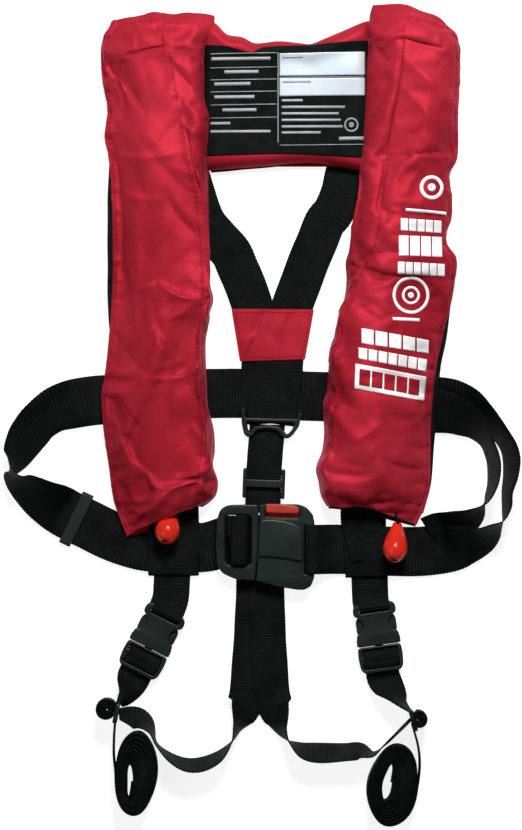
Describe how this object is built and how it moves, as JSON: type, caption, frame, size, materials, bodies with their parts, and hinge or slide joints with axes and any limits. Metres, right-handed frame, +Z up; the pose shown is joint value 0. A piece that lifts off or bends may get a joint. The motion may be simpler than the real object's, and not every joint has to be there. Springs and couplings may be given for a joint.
{
  "type": "inflatable life jacket",
  "caption": "Inflatable life jacket laid flat: padded red lobes and collar over folded bladders, waist belt with a push-button buckle, crotch straps and inflation toggles.",
  "frame": {"origin": "centre of the bounding box, on the floor the jacket lies on", "axes": "+X towards the right of the jacket seen from above, +Y towards the collar, +Z up off the floor"},
  "size_m": [0.516, 0.816, 0.0525],
  "materials": {
    "red_nylon": "satin coated nylon",
    "black_webbing": "matt ribbed webbing",
    "label_cloth": "smooth printed cloth",
    "buckle_plastic": "satin moulded",
    "toggle_plastic": "glossy",
    "bladder_coated_cloth": "polyurethane coated",
    "cylinder_steel": "bare steel",
    "tube_rubber": "matt"
  },
  "bodies": {
    "harness": {"back_patch": "red_nylon", "centre_back_strap": "black_webbing", "collar_back_panel": "red_nylon", "collar_bladder": "bladder_coated_cloth", "collar_cover": "red_nylon", "delta_ring": "buckle_plastic", "left_back_panel": "red_nylon", "left_belt_loop": "black_webbing", "left_bladder": "bladder_coated_cloth", "left_crotch_strap": "black_webbing", "left_drop_strap": "black_webbing", "left_gas_cylinder": "cylinder_steel", "left_inflator": "buckle_plastic", "left_inner_gusset": "red_nylon", "left_oral_tube": "tube_rubber", "left_shoulder_strap": "black_webbing", "left_side_buckle_socket": "buckle_plastic", "main_buckle_socket": "buckle_plastic", "neck_label": "label_cloth", "right_back_panel": "red_nylon", "right_belt_loop": "black_webbing", "right_bladder": "bladder_coated_cloth", "right_crotch_strap": "black_webbing", "right_drop_strap": "black_webbing", "right_gas_cylinder": "cylinder_steel", "right_inflator": "buckle_plastic", "right_inner_gusset": "red_nylon", "right_oral_tube": "tube_rubber", "right_shoulder_strap": "black_webbing", "right_side_buckle_socket": "buckle_plastic", "upper_crotch_strap": "black_webbing", "waist_belt_adjust_loop": "black_webbing", "waist_belt_back": "black_webbing", "waist_belt_left": "black_webbing", "waist_belt_right": "black_webbing"},
    "left_cover": {"left_front_cover": "red_nylon"},
    "right_cover": {"right_front_cover": "red_nylon"},
    "left_pull": {"left_toggle": "toggle_plastic", "left_pull_cord": "black_webbing"},
    "right_pull": {"right_toggle": "toggle_plastic", "right_pull_cord": "black_webbing"},
    "left_lever": {"left_inflator_lever": "toggle_plastic"},
    "right_lever": {"right_inflator_lever": "toggle_plastic"},
    "buckle_plug": {"main_buckle_plug": "buckle_plastic", "plug_webbing_wrap": "black_webbing"},
    "button": {"release_button": "toggle_plastic"},
    "left_leg": {"left_side_buckle_plug": "buckle_plastic", "left_leg_strap_end": "black_webbing", "left_leg_slider": "buckle_plastic", "left_strap_tail": "black_webbing"},
    "right_leg": {"right_side_buckle_plug": "buckle_plastic", "right_leg_strap_end": "black_webbing", "right_leg_slider": "buckle_plastic", "right_strap_tail": "black_webbing"},
    "left_prong_a": {"left_side_buckle_prong_a": "buckle_plastic"},
    "left_prong_b": {"left_side_buckle_prong_b": "buckle_plastic"},
    "right_prong_a": {"right_side_buckle_prong_a": "buckle_plastic"},
    "right_prong_b": {"right_side_buckle_prong_b": "buckle_plastic"},
    "adjuster": {"crotch_adjuster": "buckle_plastic"},
    "keeper": {"belt_keeper": "black_webbing"}
  },
  "joints": [
    {"name": "left_cover_hinge", "type": "hinge", "parent": "harness", "child": "left_cover", "pos_m": [-0.069, -0.093, 0.0406], "axis": [-0.0338, 0.9994, 0], "range_deg": [0, 110]},
    {"name": "right_cover_hinge", "type": "hinge", "parent": "harness", "child": "right_cover", "pos_m": [0.075, -0.093, 0.0406], "axis": [-0.1265, -0.992, 0], "range_deg": [0, 110]},
    {"name": "left_toggle_pull", "type": "slide", "parent": "harness", "child": "left_pull", "axis": [-0.1961, -0.9806, 0], "range_m": [0, 0.03]},
    {"name": "right_toggle_pull", "type": "slide", "parent": "harness", "child": "right_pull", "axis": [-0.0995, -0.995, 0], "range_m": [0, 0.03]},
    {"name": "left_lever_pivot", "type": "hinge", "parent": "harness", "child": "left_lever", "pos_m": [-0.1, -0.0524, 0.027], "axis": [0, 0, -1], "range_deg": [0, 80.5]},
    {"name": "right_lever_pivot", "type": "hinge", "parent": "harness", "child": "right_lever", "pos_m": [0.118, -0.0524, 0.027], "axis": [0, 0, -1], "range_deg": [0, 80.5]},
    {"name": "main_buckle_slide", "type": "slide", "parent": "harness", "child": "buckle_plug", "axis": [-1, 0, 0], "range_m": [0, 0.028]},
    {"name": "release_button_press", "type": "slide", "parent": "harness", "child": "button", "axis": [0, -1, 0], "range_m": [0, 0.004], "stiffness_N_per_m": 400},
    {"name": "left_side_buckle_slide", "type": "slide", "parent": "harness", "child": "left_leg", "axis": [-0.454, -0.891, 0], "range_m": [0, 0.028]},
    {"name": "left_prong_a_squeeze", "type": "hinge", "parent": "left_leg", "child": "left_prong_a", "pos_m": [-0.10219, -0.23688, 0.0059], "axis": [0, 0, 1], "range_deg": [0, 6], "stiffness_Nm_per_rad": 0.5},
    {"name": "left_prong_b_squeeze", "type": "hinge", "parent": "left_leg", "child": "left_prong_b", "pos_m": [-0.1209, -0.22734, 0.0059], "axis": [0, 0, -1], "range_deg": [0, 6], "stiffness_Nm_per_rad": 0.5},
    {"name": "right_side_buckle_slide", "type": "slide", "parent": "harness", "child": "right_leg", "axis": [0.1392, -0.9903, 0], "range_m": [0, 0.028]},
    {"name": "right_prong_a_squeeze", "type": "hinge", "parent": "right_leg", "child": "right_prong_a", "pos_m": [0.12876, -0.22755, 0.0059], "axis": [0, 0, 1], "range_deg": [0, 6], "stiffness_Nm_per_rad": 0.5},
    {"name": "right_prong_b_squeeze", "type": "hinge", "parent": "right_leg", "child": "right_prong_b", "pos_m": [0.10796, -0.23047, 0.0059], "axis": [0, 0, -1], "range_deg": [0, 6], "stiffness_Nm_per_rad": 0.5},
    {"name": "crotch_adjuster_slide", "type": "slide", "parent": "harness", "child": "adjuster", "axis": [0.035, 0.9994, 0], "range_m": [0, 0.012]},
    {"name": "belt_keeper_slide", "type": "slide", "parent": "harness", "child": "keeper", "axis": [0.9044, -0.4266, 0], "range_m": [-0.008, 0.008]}
  ],
  "couplings": [
    {"joint": "left_lever_pivot", "follows": "left_toggle_pull", "rad_per_m": 46.5},
    {"joint": "right_lever_pivot", "follows": "right_toggle_pull", "rad_per_m": 46.5}
  ]
}
